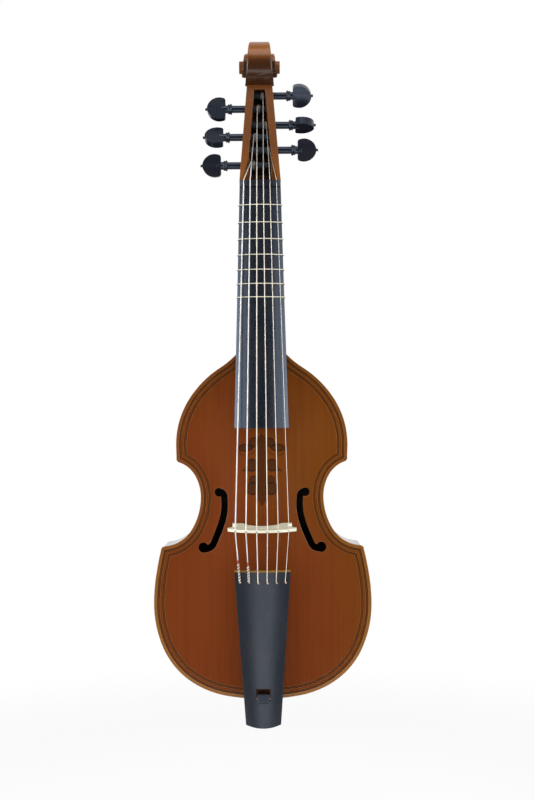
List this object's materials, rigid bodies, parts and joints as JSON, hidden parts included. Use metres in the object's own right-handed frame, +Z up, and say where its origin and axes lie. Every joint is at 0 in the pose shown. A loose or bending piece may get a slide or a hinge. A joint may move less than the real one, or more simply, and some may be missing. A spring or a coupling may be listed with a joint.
{
  "type": "treble viol",
  "caption": "Six-string treble viol with tied gut frets, turning tuning pegs, arched belly with sound holes, flat folded back, bridge and hooked tailpiece.",
  "frame": {"origin": "on the centre line of the flat back's outer face, level with the string line on top of the bridge", "axes": "+X towards the treble side, +Y out of the back, +Z up along the neck; the belly faces -Y"},
  "size_m": [0.2208, 0.1148, 0.704],
  "materials": {
    "spruce": "varnished spruce with fine straight grain, red-brown to golden",
    "maple": "varnished maple, red-brown with golden edges",
    "block_wood": "bare planed spruce and willow",
    "ebony": "satin oiled ebony",
    "bridge_wood": "bare pale maple",
    "dark_strip": "stained strip under varnish",
    "light_strip": "pale strip under varnish",
    "gut": "smooth translucent gut",
    "wound_string": "fine metal winding over gut"
  },
  "bodies": {
    "root": {"back": "maple", "belly": "spruce", "top_block": "block_wood", "bottom_block": "block_wood", "corner_blocks": "block_wood", "rib_lower_bass": "maple", "rib_waist_bass": "maple", "rib_upper_bass": "maple", "rib_lower_treble": "maple", "rib_waist_treble": "maple", "rib_upper_treble": "maple", "belly_linings": "block_wood", "back_linings": "block_wood", "purfling_dark": "dark_strip", "purfling_light": "light_strip", "bass_bar": "block_wood", "soundpost": "block_wood", "soundpost_plate": "block_wood", "back_bars": "block_wood", "neck": "maple", "fingerboard": "ebony", "nut": "ebony", "pegbox": "maple", "scroll": "maple", "bridge": "bridge_wood", "tailpiece": "ebony", "tailpiece_saddle": "light_strip", "tail_hook": "ebony", "string_1": "gut", "string_2": "gut", "string_3": "gut", "string_4": "gut", "string_5": "wound_string", "string_6": "wound_string"},
    "peg_1": {"peg_1": "ebony", "winding_1": "gut"},
    "peg_2": {"peg_2": "ebony", "winding_2": "gut"},
    "peg_3": {"peg_3": "ebony", "winding_3": "gut"},
    "peg_4": {"peg_4": "ebony", "winding_4": "gut"},
    "peg_5": {"peg_5": "ebony", "winding_5": "wound_string"},
    "peg_6": {"peg_6": "ebony", "winding_6": "wound_string"},
    "fret_1": {"fret_1": "gut"},
    "fret_2": {"fret_2": "gut"},
    "fret_3": {"fret_3": "gut"},
    "fret_4": {"fret_4": "gut"},
    "fret_5": {"fret_5": "gut"},
    "fret_6": {"fret_6": "gut"},
    "fret_7": {"fret_7": "gut"}
  },
  "joints": [
    {"name": "peg_1_turn", "type": "hinge", "parent": "root", "child": "peg_1", "pos_m": [0, -0.02593, 0.3861], "axis": [1, 0, 0], "continuous": true},
    {"name": "peg_2_turn", "type": "hinge", "parent": "root", "child": "peg_2", "pos_m": [0, -0.02165, 0.4131], "axis": [1, 0, 0], "continuous": true},
    {"name": "peg_3_turn", "type": "hinge", "parent": "root", "child": "peg_3", "pos_m": [0, -0.01657, 0.4451], "axis": [1, 0, 0], "continuous": true},
    {"name": "peg_4_turn", "type": "hinge", "parent": "root", "child": "peg_4", "pos_m": [0, -0.01884, 0.4308], "axis": [-1, 0, 0], "continuous": true},
    {"name": "peg_5_turn", "type": "hinge", "parent": "root", "child": "peg_5", "pos_m": [0, -0.02369, 0.4002], "axis": [-1, 0, 0], "continuous": true},
    {"name": "peg_6_turn", "type": "hinge", "parent": "root", "child": "peg_6", "pos_m": [0, -0.02853, 0.3697], "axis": [-1, 0, 0], "continuous": true},
    {"name": "fret_1_slide", "type": "slide", "parent": "root", "child": "fret_1", "axis": [0, 0.1585, 0.9874], "range_m": [-0.003, 0.003]},
    {"name": "fret_2_slide", "type": "slide", "parent": "root", "child": "fret_2", "axis": [0, 0.1585, 0.9874], "range_m": [-0.003, 0.003]},
    {"name": "fret_3_slide", "type": "slide", "parent": "root", "child": "fret_3", "axis": [0, 0.1585, 0.9874], "range_m": [-0.003, 0.003]},
    {"name": "fret_4_slide", "type": "slide", "parent": "root", "child": "fret_4", "axis": [0, 0.1585, 0.9874], "range_m": [-0.003, 0.003]},
    {"name": "fret_5_slide", "type": "slide", "parent": "root", "child": "fret_5", "axis": [0, 0.1585, 0.9874], "range_m": [-0.003, 0.003]},
    {"name": "fret_6_slide", "type": "slide", "parent": "root", "child": "fret_6", "axis": [0, 0.1585, 0.9874], "range_m": [-0.003, 0.003]},
    {"name": "fret_7_slide", "type": "slide", "parent": "root", "child": "fret_7", "axis": [0, 0.1585, 0.9874], "range_m": [-0.003, 0.003]}
  ]
}
